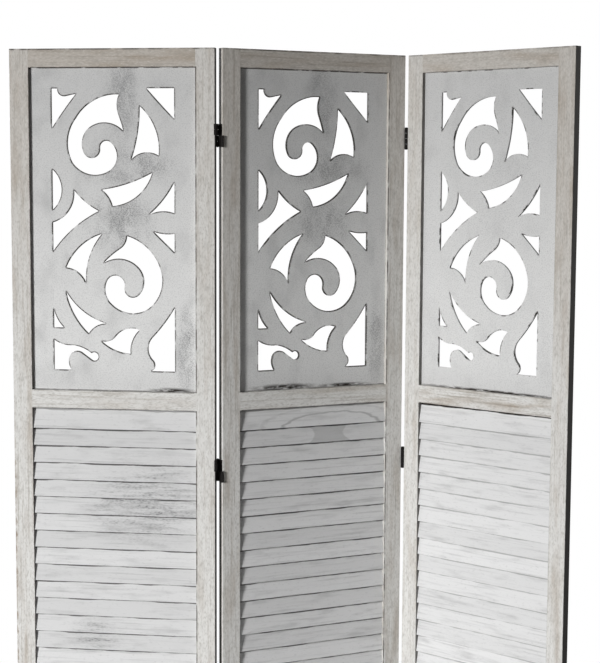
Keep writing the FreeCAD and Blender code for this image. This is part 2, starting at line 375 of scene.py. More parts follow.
@dataclass(frozen=True)
class Opening:
    """An opening in a panel's frame: its lower and upper edge."""

    foot: float
    head: float


@dataclass(frozen=True)
class FrameSize:
    """A panel's width and height, the width of its stiles and the openings between its rails."""

    width: float
    height: float
    stile: float
    openings: tuple[Opening, ...]


@dataclass(frozen=True)
class WhitewashedPine:
    """Planed pine under a thin brushed whitewash.

    The eye gets a warm grey with fine pores along the grain, browner where the wash is thin: in long
    patches, towards the top, where the darkening also stands as painted shade, and on the rubbed
    arrises. The outer edges' dark stain is partly painted shade, and the rebates that face right
    carry painted shade. Real pores are too fine to show in the picture, so they are drawn coarser.
    Where two lengths mark a line or a fade, the first is where it begins and the second where it is
    full.
    """

    wash: str = "#E1E0DD"
    bare: str = "#A39380"
    pore: str = "#9A958D"
    grain: str = "#94897B"
    rubbed: str = "#3F3831"
    scuffed: str = "#8D7B68"
    # The outer edges' dark stain, which also serves as painted shade there and in the rebates.
    stain: str = "#15120F"
    patches: Pattern = Pattern(22.0, 150.0, 0.0, 0.44, 0.78, 0.2)
    patch_per_thin: float = 1.2
    lines: Pattern = Pattern(3.6, 130.0, 1.7, 0.50, 0.70, detail=4.0)
    line_per_thin: float = 0.7
    line_per_wear: float = 0.2
    mottle: Pattern = Pattern(7.0, 20.0, 3.1, 0.44, 0.80, 0.40)
    pores: Pattern = Pattern(2.2, 6.0, 5.3, 0.46, 0.72, 0.42, detail=4.0)
    ridges: Pattern = Pattern(2.2, 6.0, 5.3, 0.46, 0.30, 0.35, detail=4.0)
    breaks: Pattern = Pattern(14.0, 26.0, 7.7, 0.34, 0.60, detail=4.0)
    rags: Pattern = Pattern(9.0, 16.0, 6.4, detail=5.0)
    drift: Pattern = Pattern(9.0, 40.0, 8.8)
    # Where the browner top begins and where it is full; it stands partly as painted shade.
    thin_from_mm: float = 1000.0
    thin_to_mm: float = 1720.0
    rub_mm: float = 2.4
    rub_fullness: float = 0.92
    joint_mm: float = 3.2
    top_line_mm: tuple[float, float] = (4.0, 1.2)
    inner_line_mm: tuple[float, float] = (3.0, 1.2)
    scuff_mm: tuple[float, float] = (13.5, 9.0)
    scuff_rags_mm: float = 19.8
    scuff_top_mm: tuple[float, float] = (1050.0, 850.0)
    outer_edge_mm: float = 1.3
    drift_mm: float = 2.0
    stain_fade_mm: float = 1.5
    stain_most: float = 0.985
    coat: Coat = Coat(0.3, 0.7)

    def make(self, name: str, space: PanelSpace, grain: Grain, thin: float, wear_and_shade: float, seed: float,
             size: FrameSize, edges: EdgeStainAndShade) -> bpy.types.Material:
        """Make the material for the pieces of one panel with the same grain.

        Args:
            name: The material's name.
            space: The panel's space.
            grain: The way the grain runs.
            thin: How much bare wood shows at the top, where it also stands as painted shade.
            wear_and_shade: How far the arrises are rubbed.
            seed: A number that sets these pieces apart.
            size: The panel's sizes.
            edges: How the wash ends at the edges.

        Returns:
            The material.
        """
        brush = Brush(name, space, grain, seed, self.wash)
        patches = brush.layer(self.patches, self.patches.most + self.patch_per_thin * thin)
        brush.paint(patches, self.bare)
        # Browner towards the top: thinner wash, and painted shade.
        top = brush.node("MapRange", brush.up, self.thin_from_mm, self.thin_to_mm, 0.0, thin, **SOFTLY)
        brush.paint(top, self.bare)
        lines = brush.layer(self.lines, self.line_per_thin * thin + self.line_per_wear * wear_and_shade)
        brush.paint(lines, self.grain)
        brush.paint(brush.layer(self.mottle), self.pore)
        pores = brush.noise(self.pores)
        brush.paint(brush.show(pores, self.pores), self.pore)
        brush.paint(brush.show(pores, self.ridges), self.wash)
        broken = brush.layer(self.breaks, wear_and_shade)
        worn = brush.overlap(broken, self.clear_of_joints(brush, size))
        rub = brush.overlap(brush.arrises(self.rub_mm, self.rub_fullness), worn)
        brush.paint(rub, self.rubbed)
        brush.paint(self.scuff(brush, edges), self.scuffed)
        inner = brush.overlap(self.inner_line(brush, size, edges), worn)
        brush.paint(inner, self.rubbed)
        begin, full = (size.height - drop for drop in self.top_line_mm)
        top_line = brush.node("MapRange", brush.up, begin, full, **SOFTLY)
        brush.paint(brush.overlap(top_line, broken), self.rubbed)
        # Dark stain on the outer edges, partly painted shade, and painted shade in the rebates.
        brush.paint(self.edge_stain_and_shade(brush, size.width, edges), self.stain)
        return brush.coat(pores, self.coat)

    def clear_of_joints(self, brush: Brush, size: FrameSize) -> Socket:
        """Find where a piece meets no other, because the wash runs on unbroken over the joints.

        Args:
            brush: The piece's brush.
            size: The panel's sizes.

        Returns:
            0 along a joint, 1 away from it.
        """
        off_centre = brush.away(brush.across, size.width / 2)
        shoulder = size.width / 2 - size.stile
        if brush.grain is Grain.ACROSS:
            return brush.node("Math", off_centre, shoulder - self.joint_mm, operation="LESS_THAN")
        clear = brush.node("Math", off_centre, shoulder + self.joint_mm, operation="GREATER_THAN")
        for opening in size.openings:
            middle, half = (opening.head + opening.foot) / 2, (opening.head - opening.foot) / 2
            beside = brush.node("Math", brush.up, middle, half, operation="COMPARE")
            clear = brush.node("Math", clear, beside, operation="MAXIMUM")
        return clear

    def scuff(self, brush: Brush, edges: EdgeStainAndShade) -> Socket:
        """Find the ragged brown scuff up the lower part of the left arris.

        Args:
            brush: The piece's brush.
            edges: How the wash ends at the edges.

        Returns:
            How strong the scuff is, from 0 to 1.
        """
        rags = brush.noise(self.rags)
        ragged = brush.node("Math", rags, self.scuff_rags_mm, brush.across, operation="MULTIPLY_ADD")
        near = brush.node("MapRange", ragged, *self.scuff_mm, 0.0, edges.scuffed, **SOFTLY)
        return brush.overlap(near, brush.node("MapRange", brush.up, *self.scuff_top_mm, **SOFTLY))

    def inner_line(self, brush: Brush, size: FrameSize, edges: EdgeStainAndShade) -> Socket:
        """Find the front of the arris beside the openings on their right.

        Args:
            brush: The piece's brush.
            size: The panel's sizes.
            edges: How the wash ends at the edges.

        Returns:
            How dark the line is, from 0 to 1.
        """
        begin, full = (size.width - size.stile + reach for reach in self.inner_line_mm)
        line = brush.node("MapRange", brush.across, begin, full, 0.0, edges.inner_rub, **SOFTLY)
        return brush.overlap(line, brush.node("MapRange", brush.facing(-90.0), *SIDE_ON, **SOFTLY))

    def edge_stain_and_shade(self, brush: Brush, width_mm: float, edges: EdgeStainAndShade) -> Socket:
        """Find the outer edges, which the wash only reaches from the front, and the rebates' painted shade.

        Args:
            brush: The piece's brush.
            width_mm: The panel's width.
            edges: How the wash ends at the edges.

        Returns:
            How dark the stain is, from 0 to 1.
        """
        # The stain on the outer edges behind the washed front stands partly as painted shade.
        off_centre = brush.away(brush.across, width_mm / 2)
        outer = brush.node("Math", off_centre, width_mm / 2 - self.outer_edge_mm, operation="GREATER_THAN")
        sideways = brush.facing(0.0)
        drift = brush.node("Math", brush.noise(self.drift), self.drift_mm, operation="MULTIPLY")
        depth = brush.node("Math", brush.into, drift, operation="ADD")
        begin, full = edges.washed_mm, edges.washed_mm + self.stain_fade_mm
        bare = brush.node("MapRange", depth, begin, full, 0.0, self.stain_most, **SOFTLY)
        either_way = brush.node("Math", sideways, operation="ABSOLUTE")
        edgewise = brush.node("MapRange", either_way, *SIDE_ON, **SOFTLY)
        edge = brush.overlap(outer, edgewise, bare)
        # Painted shade on the faces inside the openings that face right.
        rebate = brush.overlap(brush.node("MapRange", sideways, *SIDE_ON, **SOFTLY), edges.rebate_shade)
        inside = brush.node("Math", 1.0, outer, operation="SUBTRACT")
        return brush.node("Math", edge, brush.overlap(rebate, inside), operation="MAXIMUM")


@dataclass(frozen=True)
class WhitewashedBoard:
    """Thin fibreboard, sawn to a scroll pattern, whitewashed and rubbed with grey.

    The eye gets a cool grey white with soft, stippled smears, greyer towards the top with painted
    shade, dark broken lines along the sawn edges, and a painted shadow along the upper edge, under
    the top rail. Real specks are too fine to show in the picture, so they are drawn coarser. The
    grain here is only the upright, so a pattern that is wider than long lies level.
    """

    wash: str = "#E4E4E3"
    # Grey smudges, and painted shade towards the board's top.
    smudge_and_shade: str = "#8F8F90"
    # Dark grime for the stains and worn edges, and painted shadow under the top rail.
    grime_and_shade: str = "#2E2A26"
    sawn: str = "#241F1B"
    clouds: Pattern = Pattern(45.0, 70.0, 0.0, 0.46, 0.80, 0.15, detail=6.0)
    cloud_per_smear: float = 0.2
    strokes: Pattern = Pattern(17.0, 28.0, 2.3, 0.34, 0.66, 0.8, 0.2, 8.0)
    specks: Pattern = Pattern(2.2, 2.2, 4.9, 0.42, 0.78, 0.4, detail=4.0)
    stipple: Pattern = Pattern(2.2, 2.2, 4.9, 0.40, 0.62, 1.25, 0.35, 4.0)
    rags: Pattern = Pattern(17.0, 3.2, 5.9, 0.30, 0.54, detail=6.0)
    rag_share: float = 0.6
    breaks: Pattern = Pattern(16.0, 16.0, 7.7, 0.66, 0.76, detail=4.0)
    low_per_wear: float = 0.34
    high_per_wear: float = 0.30
    # Painted shade towards the board's top: where it begins and is full above the opening's edges, and how
    # dark.
    head_fade_mm: tuple[float, float] = (120.0, 60.0)
    head_tone: float = 0.28
    foot_mm: float = 70.0
    foot_tone: float = 0.14
    border_mm: tuple[float, float] = (2.6, 0.5)
    rub_mm: float = 5.0
    rub_fullness: float = 0.95
    sawn_facing: tuple[float, float] = (0.6, 0.4)
    sawn_per_wear: float = 0.3
    sawn_steepness: float = 3.0
    coat: Coat = Coat(0.2, 0.75)
    smears: tuple[Smear, ...] = (
        Smear(217.0, 1612.0, 45.0, 120.0), Smear(225.0, 1478.0, 130.0, 48.0),
        Smear(215.0, 1372.0, 90.0, 75.0), Smear(343.0, 1130.0, 26.0, 110.0))

    def make(self, name: str, space: PanelSpace, opening: Opening, wear_and_shade: float, smeared: float,
             seed: float, foot_stains: tuple[Smear, ...]) -> bpy.types.Material:
        """Make the material for one panel's scroll board.

        Args:
            name: The material's name.
            space: The panel's space.
            opening: The opening that the board fills.
            wear_and_shade: How far the sawn edges are rubbed and darkened, and the painted shadow under the
                top rail.
            smeared: How dark the smears are.
            seed: A number that sets this board apart.
            foot_stains: Ragged stains along the board's foot, their heights above the opening's lower edge.

        Returns:
            The material.
        """
        brush = Brush(name, space, Grain.UPRIGHT, seed, self.wash)
        clouds = brush.layer(self.clouds, self.clouds.most + self.cloud_per_smear * smeared)
        brush.paint(clouds, self.smudge_and_shade)
        # Painted shade, greyer towards the top of the board.
        above_foot, above_head = self.head_fade_mm
        begin, full = opening.foot + above_foot, opening.head + above_head
        top = brush.node("MapRange", brush.up, begin, full, 0.0, self.head_tone, **SOFTLY)
        brush.paint(top, self.smudge_and_shade)
        begin, full = opening.foot + self.foot_mm, opening.foot
        foot = brush.node("MapRange", brush.up, begin, full, 0.0, self.foot_tone, **SOFTLY)
        brush.paint(foot, self.smudge_and_shade)
        strokes, specks = brush.noise(self.strokes), brush.noise(self.specks)
        dusty = brush.overlap(brush.show(strokes, self.strokes), brush.show(specks, self.stipple))
        for smear in self.smears:
            brush.paint(brush.overlap(brush.spot(smear), dusty, smeared), self.smudge_and_shade)
        brush.paint(brush.show(specks, self.specks), self.smudge_and_shade)
        border, core = self.border_mm
        ragged = brush.layer(self.rags)
        begin, full = opening.foot + border, opening.foot + core
        low = brush.node("MapRange", brush.up, begin, full, 0.0, wear_and_shade, **SOFTLY)
        patchy = brush.node("Math", ragged, self.rag_share, 1 - self.rag_share, operation="MULTIPLY_ADD")
        stain = brush.overlap(low, patchy)
        for mark in foot_stains:
            oval = brush.overlap(brush.spot(mark, opening.foot), ragged)
            stain = brush.node("Math", stain, oval, operation="MAXIMUM")
        brush.paint(stain, self.grime_and_shade)
        # A painted shadow along the board's upper edge, under the top rail, joined to the worn sawn edges in
        # one broken line.
        high = brush.node("MapRange", brush.up, opening.head - border, opening.head - core, **SOFTLY)
        broken = brush.layer(replace(
            self.breaks, low=self.breaks.low - self.low_per_wear * wear_and_shade,
            high=self.breaks.high - self.high_per_wear * wear_and_shade))
        rub = brush.node("Math", brush.arrises(self.rub_mm, self.rub_fullness), high, operation="MAXIMUM")
        brush.paint(brush.overlap(rub, broken), self.grime_and_shade)
        flat = brush.node("Math", brush.facing(90.0), operation="ABSOLUTE")
        sawn_tone = min(1.0, wear_and_shade ** self.sawn_steepness + self.sawn_per_wear * wear_and_shade)
        sawn = brush.node("MapRange", flat, *self.sawn_facing, 0.0, sawn_tone, **SOFTLY)
        brush.paint(sawn, self.sawn)
        return brush.coat(strokes, self.coat)


@dataclass(frozen=True)
class Figure:
    """Arched grain on a panel's top slat and a waisted knot's patch on the slat below it.

    Places are across the panel, heights are above the slat's nose, and each ring is a radius up the
    arch with the strength of its line.
    """

    arch_across: float = 243.0
    flatness: float = 0.23
    rings: tuple[tuple[float, float], ...] = ((25.0, 0.75), (37.0, 0.25))
    ring_line_mm: tuple[float, float] = (2.2, 0.3)
    ripple: Pattern = Pattern(9.0, 34.0, 9.1)
    ripple_mm: float = 9.0
    knot_across: float = 236.0
    knot_half_width: float = 32.0
    knot_up: float = 17.0
    knot_spread: float = 0.055
    knot_fade_mm: float = 2.0
    knot_tone: float = 0.5


@dataclass(frozen=True)
class SlatRow:
    """Where a panel's slats are: the lowest nose, the spacing, the count and the opening's upper edge."""

    foot: float
    pitch: float
    count: int
    head: float


@dataclass(frozen=True)
class SlatMarks:
    """What sets one panel's slats apart: painted shadow under the rail, smears and a figured grain."""

    # How dark the painted shadow under the rail is on the top slat.
    rail_shadow: float
    smears: tuple[Smear, ...] = ()
    figure: Figure | None = None


@dataclass(frozen=True)
class WhitewashedSlat:
    """Thin pine slats under a full whitewash, rubbed along their length.

    The eye gets a near white with grey streaks that differ from slat to slat, a painted shade that
    darkens them towards the top, and an uneven dark line of painted shadow under each slat's nose.
    Real specks and grit are too fine to show in the picture, so they are drawn coarser.
    """

    wash: str = "#EAEAEA"
    # Grey smudges, and painted shade towards the top of the slats.
    smudge_and_shade: str = "#A6A6A6"
    smear: str = "#777778"
    # Dark grime for the worn arrises, and painted shadow under the noses and the rail.
    grime_and_shade: str = "#2A2724"
    clouds: Pattern = Pattern(14.0, 70.0, 0.0, 0.50, 0.80, 0.5, detail=4.0)
    streaks: Pattern = Pattern(4.0, 110.0, 2.3, 0.50, 0.78, 0.45)
    specks: Pattern = Pattern(3.0, 8.0, 4.9, 0.54, 0.80, 0.35, detail=4.0)
    uneven_mm: Pattern = Pattern(30.0, 60.0, 6.1, 0.34, 0.64, 2.2)
    film: Pattern = Pattern(6.0, 70.0, 8.6, 0.38, 0.66, 0.9, 0.2, 5.0)
    grit: Pattern = Pattern(1.9, 6.0, 9.7, 0.44, 0.66, 1.0, 0.4)
    breaks: Pattern = Pattern(12.0, 40.0, 7.7, 0.40, 0.64, 0.6, detail=4.0)
    apart_mm: float = 900.0
    tone_spread: float = 0.15
    tone_per_smear: float = 0.2
    # Painted shade, darker towards the top of the slats: where it begins and is full, and how dark.
    upper_shade_mm: tuple[float, float] = (600.0, 980.0)
    upper_shade_tone: float = 0.11
    line_mm: float = 2.6
    line_fade_mm: float = 1.6
    head_line_mm: float = 1.6
    rub_mm: float = 1.4
    rub_fullness: float = 0.86
    coat: Coat = Coat(0.25, 0.7)

    def make(self, name: str, space: PanelSpace, row: SlatRow, wear_and_shade: float, smeared: float, seed: float,
             marks: SlatMarks) -> bpy.types.Material:
        """Make the material for one panel's slats.

        Args:
            name: The material's name.
            space: The panel's space.
            row: Where the slats are.
            wear_and_shade: How dark the painted shadow lines under the noses are, and how far the arrises are
                rubbed.
            smeared: How grey the faces are.
            seed: A number that sets this panel's slats apart.
            marks: What sets this panel's slats apart to the eye.

        Returns:
            The material.
        """
        brush = Brush(name, space, Grain.ACROSS, seed, self.wash)
        height = brush.node("Math", brush.up, row.foot, operation="SUBTRACT")
        steps = brush.node("Math", height, row.pitch, operation="DIVIDE")
        whole = brush.node("Math", steps, operation="FLOOR")
        number = brush.node("Math", whole, row.count - 1.0, operation="MINIMUM")
        # Each slat's patterns are drawn at a place of their own, so that no streak runs on to the next slat.
        panel_place = brush.place
        way, lot = (brush.node("TexWhiteNoise", inputs={"W": number}, output=output, noise_dimensions="1D")
                    for output in ("Color", "Value"))
        shift = brush.node("VectorMath", way, inputs={"Scale": self.apart_mm}, operation="SCALE")
        brush.place = brush.node("VectorMath", panel_place, shift, operation="ADD")
        brush.paint(brush.layer(self.clouds), self.smudge_and_shade)
        streaks = brush.noise(self.streaks)
        brush.paint(brush.show(streaks, self.streaks), self.smudge_and_shade)
        brush.paint(brush.layer(self.specks), self.smudge_and_shade)
        tone = brush.node("MapRange", lot, 0.0, 1.0, 0.0, self.tone_spread, **SOFTLY)
        brush.paint(brush.node("Math", tone, self.tone_per_smear * smeared, operation="ADD"), self.smudge_and_shade)
        # Painted shadow under each slat's nose, and under the rail on the top slat.
        grime_and_shade = self.nose_shadow(brush, row, steps, number, wear_and_shade, marks.rail_shadow)
        dragged = brush.overlap(brush.layer(self.film), brush.layer(self.grit))
        brush.place = panel_place
        # Painted shade, darker towards the top.
        upper_shade = brush.node("MapRange", brush.up, *self.upper_shade_mm, 0.0, self.upper_shade_tone, **SOFTLY)
        brush.paint(upper_shade, self.smudge_and_shade)
        for smear in marks.smears:
            brush.paint(brush.overlap(brush.spot(smear), dragged), self.smear)
        if marks.figure:
            part = brush.node("Math", steps, number, operation="SUBTRACT")
            rise = brush.node("Math", part, row.pitch, operation="MULTIPLY")
            below_top = brush.node("Math", row.count - 1.0, number, operation="SUBTRACT")
            self.figured(brush, marks.figure, rise, below_top)
        # Paint the shadow under the noses and the rail.
        brush.paint(grime_and_shade, self.grime_and_shade)
        broken = brush.layer(self.breaks, self.breaks.most * wear_and_shade)
        rub = brush.overlap(brush.arrises(self.rub_mm, self.rub_fullness), broken)
        brush.paint(rub, self.grime_and_shade)
        return brush.coat(streaks, self.coat)

    def nose_shadow(self, brush: Brush, row: SlatRow, steps: Socket, number: Socket, wear_and_shade: float,
                   rail_shadow: float) -> Socket:
        """Find the painted shadow under the nose of the slat above, or under the rail on the top slat.

        Args:
            brush: The slats' brush.
            row: Where the slats are.
            steps: The height above the lowest nose, counted in slats.
            number: How many slats lie below this one.
            wear_and_shade: How dark the painted shadow lines under the noses are.
            rail_shadow: How dark the painted shadow line under the rail is.

        Returns:
            How dark the painted shadow is, from 0 to 1.
        """
        number_above = brush.node("Math", number, 1.0, operation="ADD")
        nose_above = brush.node("Math", number_above, row.pitch, operation="MULTIPLY")
        on_top = brush.node("Math", number, row.count - 1.0, HALF_STEP, operation="COMPARE")
        lift = row.head - self.head_line_mm - row.foot - row.count * row.pitch
        edge = brush.node("Math", on_top, lift, nose_above, operation="MULTIPLY_ADD")
        height = brush.node("Math", steps, row.pitch, operation="MULTIPLY")
        depth = brush.node("Math", edge, height, operation="SUBTRACT")
        reach = brush.node("Math", brush.layer(self.uneven_mm), depth, operation="SUBTRACT")
        line = brush.node("MapRange", reach, -self.line_mm, self.line_fade_mm - self.line_mm, **SOFTLY)
        strength = brush.node("Math", on_top, rail_shadow - wear_and_shade, wear_and_shade, operation="MULTIPLY_ADD")
        return brush.overlap(line, strength)

    def figured(self, brush: Brush, figure: Figure, rise: Socket, below_top: Socket) -> None:
        """Paint arched grain and a knot's patch, their outlines rippled.

        Args:
            brush: The slats' brush.
            figure: What to paint.
            rise: The height above the slat's nose.
            below_top: How many slats lie above this one.
        """
        even = brush.node("Math", brush.noise(figure.ripple), NOISE_MIDDLE, operation="SUBTRACT")
        ripple = brush.node("Math", even, figure.ripple_mm, operation="MULTIPLY")
        off_arch = brush.away(brush.across, figure.arch_across)
        aside = brush.node("Math", off_arch, figure.flatness, operation="MULTIPLY")
        squares = (brush.node("Math", length, 2.0, operation="POWER") for length in (aside, rise))
        square = brush.node("Math", *squares, operation="ADD")
        radius = brush.node("Math", brush.node("Math", square, operation="SQRT"), ripple, operation="ADD")
        on_top = brush.node("Math", below_top, HALF_STEP, operation="LESS_THAN")
        for ring, strength in figure.rings:
            off_ring = brush.away(radius, ring)
            line = brush.node("MapRange", off_ring, *figure.ring_line_mm, 0.0, strength, **SOFTLY)
            brush.paint(brush.overlap(line, on_top), self.smudge_and_shade)
        bow = brush.node("Math", brush.away(rise, figure.knot_up), 2.0, operation="POWER")
        spread = brush.node("Math", bow, figure.knot_spread, operation="MULTIPLY")
        off_knot = brush.away(brush.across, figure.knot_across)
        waisted = brush.node("Math", off_knot, spread, operation="SUBTRACT")
        reach = brush.node("Math", waisted, ripple, operation="ADD")
        rim, core = (figure.knot_half_width + hand * figure.knot_fade_mm for hand in (1, -1))
        patch = brush.node("MapRange", reach, rim, core, 0.0, figure.knot_tone, **SOFTLY)
        second = brush.node("Math", below_top, 1.0, HALF_STEP, operation="COMPARE")
        brush.paint(brush.overlap(patch, second), self.smudge_and_shade)


@dataclass(frozen=True)
class BlackedSteel:
    """Pressed steel, stoved black: a dull near-black with a slight dusty mottle."""

    paint: str = "#0D0C0D"
    dust: str = "#1D1A18"
    mottle_mm: float = 4.0
    mottle_detail: float = 3.0
    roughness: tuple[float, float] = (0.52, 0.77)
    shine: float = 0.12

    def make(self, name: str) -> bpy.types.Material:
        """Make the material for every hinge piece.

        Args:
            name: The material's name.

        Returns:
            The material.
        """
        material = bpy.data.materials.new(name)
        material.use_nodes = True
        tree = material.node_tree
        source = add_node(tree, "TexCoord", output="Object")
        mottle = add_node(tree, "TexNoise", inputs={
            "Vector": source, "Scale": 1 / (self.mottle_mm * MM), "Detail": self.mottle_detail})
        layers = {SHARE: mottle, UNDER: linear(self.paint), OVER: linear(self.dust)}
        mixed = add_node(tree, "Mix", inputs=layers, **COLOURS)
        smooth, rough = self.roughness
        uneven = add_node(tree, "MapRange", mottle, inputs={"To Min": smooth, "To Max": rough})
        shader = tree.nodes["Principled BSDF"]
        shader.inputs["Specular IOR Level"].default_value = self.shine
        tree.links.new(uneven, shader.inputs["Roughness"])
        tree.links.new(mixed, shader.inputs["Base Color"])
        return material


def cover(piece: bpy.types.Object, material: bpy.types.Material) -> None:
    """Set a piece's only material and report it.

    Args:
        piece: The piece.
        material: Its material.
    """
    piece.data.materials.clear()
    piece.data.materials.append(material)
    LOG.info("dressed %s in %s", piece.name, material.name)


@dataclass
class Panel:
    """One panel: two stiles, three rails, a scroll board and its louvre slats.

    How thin the wash is differs from piece to piece, and the right stile's is thinnest from a height on;
    the browner top that this sets stands partly as painted shade. How worn a panel is also sets how
    dark its painted shadow lines are.
    """

    side: Side
    seed: float
    # How worn the panel is, which also sets how dark its painted shadow lines are.
    wear_and_shade: float
    smeared: float
    marks: SlatMarks
    foot_stains: tuple[Smear, ...]
    slat_count: int = 27
    slat_rise_mm: float = 40.12
    nose_lift_mm: float = 0.86
    stile_thin: tuple[float, float] = (0.30, 0.30)
    rail_thin: float = 0.50
    middle_thin: float = 0.50
    right_bare_mm: float = 1720.0
    # Behind the washed front, the outer edges' dark stain stands partly as painted shade, and the left
    # stile's rebate carries painted shade.
    left_edges: EdgeStainAndShade = EdgeStainAndShade(7.5, 0.7)
    right_edges: EdgeStainAndShade = EdgeStainAndShade(0.6, 0.0)
    rail_edges: EdgeStainAndShade = EdgeStainAndShade(0.6, 0.0)
    space: PanelSpace = field(init=False)

    def __post_init__(self) -> None:
        """Find where the panel stands."""
        self.space = PanelSpace.of(self.side)

    def reach(self, piece: str) -> tuple[float, float]:
        """Give the heights of a piece's lower and upper edge in millimetres."""
        low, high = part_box(f"{self.side.value}_panel_{piece}")
        return low.z / MM, high.z / MM

    def dress(self, pine: WhitewashedPine, board: WhitewashedBoard, slats: WhitewashedSlat) -> None:
        """Give every piece of the panel its material.

        Args:
            pine: The finish of the stiles and rails.
            board: The finish of the scroll board.
            slats: The finish of the slats.
        """
        name, space, seed, wear_and_shade = self.side.value, self.space, self.seed, self.wear_and_shade
        louvre_head, board_foot = self.reach("middle_rail")
        opening = Opening(board_foot, self.reach("top_rail")[0])
        louvred = Opening(self.reach("bottom_rail")[1], louvre_head)
        size = FrameSize(space.width_mm, self.reach("left_stile")[1], space.stile_mm, (opening, louvred))
        barer = replace(pine, thin_to_mm=self.right_bare_mm)
        # Each piece's finish, grain, thinness of wash, step from the panel's seed and edges.
        woods = {
            "left_stile": (pine, Grain.UPRIGHT, self.stile_thin[0], 0, self.left_edges),
            "right_stile": (barer, Grain.UPRIGHT, self.stile_thin[1], 1, self.right_edges),
            "rails": (pine, Grain.ACROSS, self.rail_thin, 5, self.rail_edges),
            "middle_rail": (pine, Grain.ACROSS, self.middle_thin, 7, self.rail_edges)}
        finishes = {
            piece: finish.make(f"whitewashed_pine_{name}_{piece}", space, grain, thin, wear_and_shade, seed + step,
                               size, edges)
            for piece, (finish, grain, thin, step, edges) in woods.items()}
        finishes["top_rail"] = finishes["bottom_rail"] = finishes.pop("rails")
        finishes["scroll_board"] = board.make(
            f"whitewashed_board_{name}", space, opening, wear_and_shade, self.smeared, seed, self.foot_stains)
        low, high = self.reach("louvre_slats")
        pitch = (high - low - self.slat_rise_mm) / (self.slat_count - 1)
        row = SlatRow(low + self.nose_lift_mm, pitch, self.slat_count, louvre_head)
        finishes["louvre_slats"] = slats.make(
            f"whitewashed_slats_{name}", space, row, wear_and_shade, self.smeared, seed, self.marks)
        for piece, material in finishes.items():
            cover(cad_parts[f"{name}_panel_{piece}"], material)


@dataclass
class Fold:
    """The hinges of one fold, with the pin ends and screw heads of their leaves.

    A head's profile runs from its root to its crown, in shares of its radius and of its height.
    """

    name: str
    left: Side
    right: Side
    paint: bpy.types.Material
    hinge_height_mm: float = 43.0
    hinge_levels_mm: tuple[float, ...] = (253.0, 895.0, 1537.0)
    leaf_mm: float = 0.9
    half_gap_mm: float = 1.5
    axis_offset_mm: float = 2.4
    pin_radius_mm: float = 1.5
    pin_proud_mm: float = 0.7
    screw_radius_mm: float = 2.9
    screw_proud_mm: float = 0.14
    screw_spacing_mm: float = 25.0
    round_sides: int = 16
    head_profile: tuple[tuple[float, float], ...] = ((1.0, -0.5), (1.0, 0.35), (0.8, 0.8), (0.5, 1.0))
    recess_rise: float = -0.5

    def dress(self) -> None:
        """Paint the leaves and links black and fit the pins and screws."""
        for piece in ("left_leaves", "right_leaves", "upper_links", "lower_links"):
            cover(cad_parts[f"{self.name}_{piece}"], self.paint)
        self.fit_fasteners(self.left, 1)
        self.fit_fasteners(self.right, -1)

    def fit_fasteners(self, side: Side, hand: int) -> None:
        """Model the pin ends and screw heads of the leaves on one panel's edge.

        Args:
            side: The panel that carries the leaves.
            hand: 1 for a leaf on the panel's right edge, -1 for one on its left edge.
        """
        shape = bmesh.new()
        space = PanelSpace.of(side)
        edge = space.width_mm if hand > 0 else 0.0
        front = -self.axis_offset_mm
        back = space.thickness_mm + self.axis_offset_mm
        upright = Vector((0.0, 0.0, 1.0))
        for level in self.hinge_levels_mm:
            half = self.hinge_height_mm / 2
            upper, lower = (front, back) if hand > 0 else (back, front)
            x = edge + hand * self.half_gap_mm
            for seat, out in ((Vector((x, upper, level + half)), upright),
                              (Vector((x, lower, level - half)), -upright)):
                self.add_head(shape, seat, out, self.pin_radius_mm, self.pin_proud_mm)
            for rise in (-self.screw_spacing_mm / 2, self.screw_spacing_mm / 2):
                seat = Vector((edge + hand * self.leaf_mm, space.thickness_mm / 2, level + rise))
                out = Vector((hand, 0.0, 0.0))
                self.add_head(shape, seat, out, self.screw_radius_mm, self.screw_proud_mm, recessed=True)
        shape.transform(space.to_row())
        mesh = bpy.data.meshes.new(f"{self.name}_{side.value}_fasteners")
        shape.to_mesh(mesh)
        shape.free()
        piece = bpy.data.objects.new(mesh.name, mesh)
        bpy.context.scene.collection.objects.link(piece)
        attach(piece, f"{side.value}_panel")
        cover(piece, self.paint)

    def add_head(self, shape: bmesh.types.BMesh, seat: Vector, out: Vector, radius: float, proud: float,
                 recessed: bool = False) -> None:
        """Add a low domed head, with a driver's recess if it is a screw's.

        Args:
            shape: The mesh that takes it.
            seat: The middle of the surface that it stands on.
            out: The way it stands out.
            radius: Its radius.
            proud: How far it stands out.
            recessed: Whether it has a recess.
        """
        turn = out.to_track_quat("Z", "Y").to_matrix()
        rings = []
        for share, rise in self.head_profile:
            ring, spread = [], radius * share
            for index in range(self.round_sides):
                angle = 2 * math.pi * index / self.round_sides
                point = Vector((spread * math.cos(angle), spread * math.sin(angle), proud * rise))
                ring.append(shape.verts.new(seat + turn @ point))
            rings.append(ring)
        for lower, upper in zip(rings, rings[1:]):
            for index in range(self.round_sides):
                after = (index + 1) % self.round_sides
                shape.faces.new((lower[index], lower[after], upper[after], upper[index]))
        floor_rise = self.recess_rise if recessed else 1.0
        middle = shape.verts.new(seat + turn @ Vector((0.0, 0.0, proud * floor_rise)))
        for index in range(self.round_sides):
            shape.faces.new((rings[-1][index], rings[-1][(index + 1) % self.round_sides], middle))
        shape.faces.new(reversed(rings[0]))


def seen_ray(tree: Tree) -> Socket:
    """Tell the rays that are seen from those that only light.

    Args:
        tree: The node tree that asks.

    Returns:
        1 for a ray that is seen, straight or in a reflection, and 0 for one that only lights.
    """
    seen = add_node(tree, "LightPath", output="Is Camera Ray")
    for ray in ("Is Glossy Ray", "Is Transmission Ray"):
        seen = add_node(tree, "Math", seen, add_node(tree, "LightPath", output=ray), operation="MAXIMUM")
    return seen


